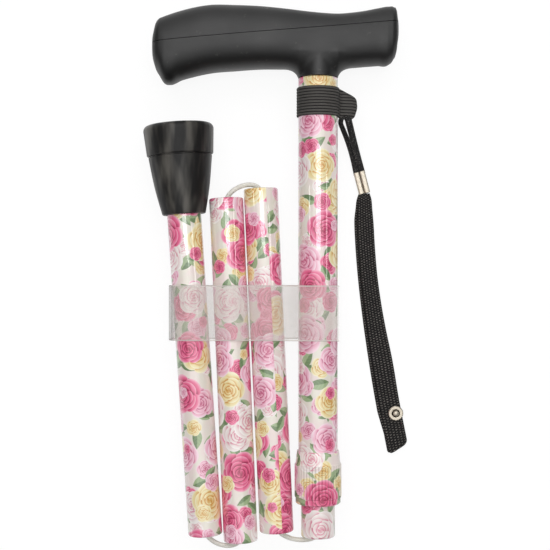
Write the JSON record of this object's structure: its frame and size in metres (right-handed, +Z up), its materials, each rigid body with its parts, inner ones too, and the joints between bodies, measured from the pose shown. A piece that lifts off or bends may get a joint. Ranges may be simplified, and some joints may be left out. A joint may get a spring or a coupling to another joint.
{
  "type": "folding walking cane",
  "caption": "Folding walking cane, folded flat in its clip: printed tubes on a shock cord, T-shaped handle, lock collar, rubber ferrule and wrist strap.",
  "frame": {"origin": "on the table, under the middle of the folded cane's bounding box", "axes": "+Z up from the table, +Y along the outer tube towards the handle, +X towards the wrist strap"},
  "size_m": [0.1489, 0.3008, 0.039],
  "materials": {
    "black_plastic": "satin",
    "printed_tube": "gloss printed film",
    "printed_plastic": "gloss printed film",
    "pale_nylon": "satin",
    "shock_cord": "braided",
    "rubber": "moulded",
    "frosted_plastic": "frosted",
    "elastic": "ribbed webbing",
    "strap_braid": "braided",
    "nickel": "plated",
    "steel": "plain"
  },
  "bodies": {
    "handle": {"handle_lower_shell": "black_plastic", "handle_upper_shell": "black_plastic", "handle_screw": "steel", "handle_pin": "steel", "outer_tube": "printed_tube", "thread_sleeve": "black_plastic", "collet": "pale_nylon", "strap_band": "elastic"},
    "collar": {"lock_collar": "printed_plastic"},
    "section_1": {"inner_tube": "printed_tube", "cord_anchor_top": "pale_nylon", "shock_cord_1": "shock_cord", "mouth_bush_1": "pale_nylon", "cord_bend_1": "shock_cord"},
    "insert_1": {"joint_insert_1": "pale_nylon"},
    "section_2": {"tube_2": "printed_tube", "mouth_bush_2_low": "pale_nylon", "mouth_bush_2_high": "pale_nylon", "shock_cord_2": "shock_cord", "cord_bend_2": "shock_cord"},
    "insert_2": {"joint_insert_2": "pale_nylon"},
    "section_3": {"tube_3": "printed_tube", "mouth_bush_3_high": "pale_nylon", "mouth_bush_3_low": "pale_nylon", "shock_cord_3": "shock_cord", "cord_bend_3": "shock_cord"},
    "insert_3": {"joint_insert_3": "pale_nylon"},
    "section_4": {"tube_4": "printed_tube", "mouth_bush_4": "pale_nylon", "shock_cord_4": "shock_cord", "cord_anchor_tip": "pale_nylon", "ferrule_washer": "steel", "ferrule": "rubber"},
    "clip": {"storage_clip": "frosted_plastic"},
    "strap": {"strap_cord": "strap_braid", "strap_crimp": "nickel", "wrist_tape": "strap_braid", "snap_stud": "nickel", "snap_rivet": "nickel"}
  },
  "joints": [
    {"name": "collar_twist", "type": "hinge", "parent": "handle", "child": "collar", "pos_m": [0.02257, 0, 0.0195], "axis": [0, -1, 0], "range_deg": [0, 120]},
    {"name": "height_slide", "type": "slide", "parent": "handle", "child": "section_1", "axis": [0, -1, 0], "range_m": [0, 0.1]},
    {"name": "fold_1", "type": "hinge", "parent": "section_1", "child": "section_2", "pos_m": [0.01116, -0.14242, 0.0195], "axis": [0, 0, 1], "range_deg": [0, 177.3], "deforming": ["cord_bend_1"]},
    {"name": "fold_2", "type": "hinge", "parent": "section_2", "child": "section_3", "pos_m": [-0.01889, 0.04673, 0.0195], "axis": [0, 0, -1], "range_deg": [0, 179.75], "deforming": ["cord_bend_2"]},
    {"name": "fold_3", "type": "hinge", "parent": "section_3", "child": "section_4", "pos_m": [-0.03008, -0.14473, 0.0195], "axis": [0, 0, 1], "range_deg": [0, 178.63], "deforming": ["cord_bend_3"]},
    {"name": "insert_1_slide", "type": "slide", "parent": "section_1", "child": "insert_1", "axis": [0, -1, 0], "range_m": [0, 0.044]},
    {"name": "insert_2_slide", "type": "slide", "parent": "section_2", "child": "insert_2", "axis": [-0.0471, 0.9989, 0], "range_m": [0, 0.044]},
    {"name": "insert_3_slide", "type": "slide", "parent": "section_3", "child": "insert_3", "axis": [0.0427, -0.9991, 0], "range_m": [0, 0.044]},
    {"name": "clip_slide", "type": "slide", "parent": "section_4", "child": "clip", "axis": [-1, 0, 0], "range_m": [0, 0.1]},
    {"name": "strap_swing", "type": "hinge", "parent": "handle", "child": "strap", "pos_m": [0.03877, 0.08996, 0.0195], "axis": [0, 0, 1], "range_deg": [-5, 70]}
  ],
  "couplings": [
    {"joint": "fold_2", "follows": "fold_1", "ratio": 1.0138},
    {"joint": "fold_3", "follows": "fold_1", "ratio": 1.0075}
  ]
}
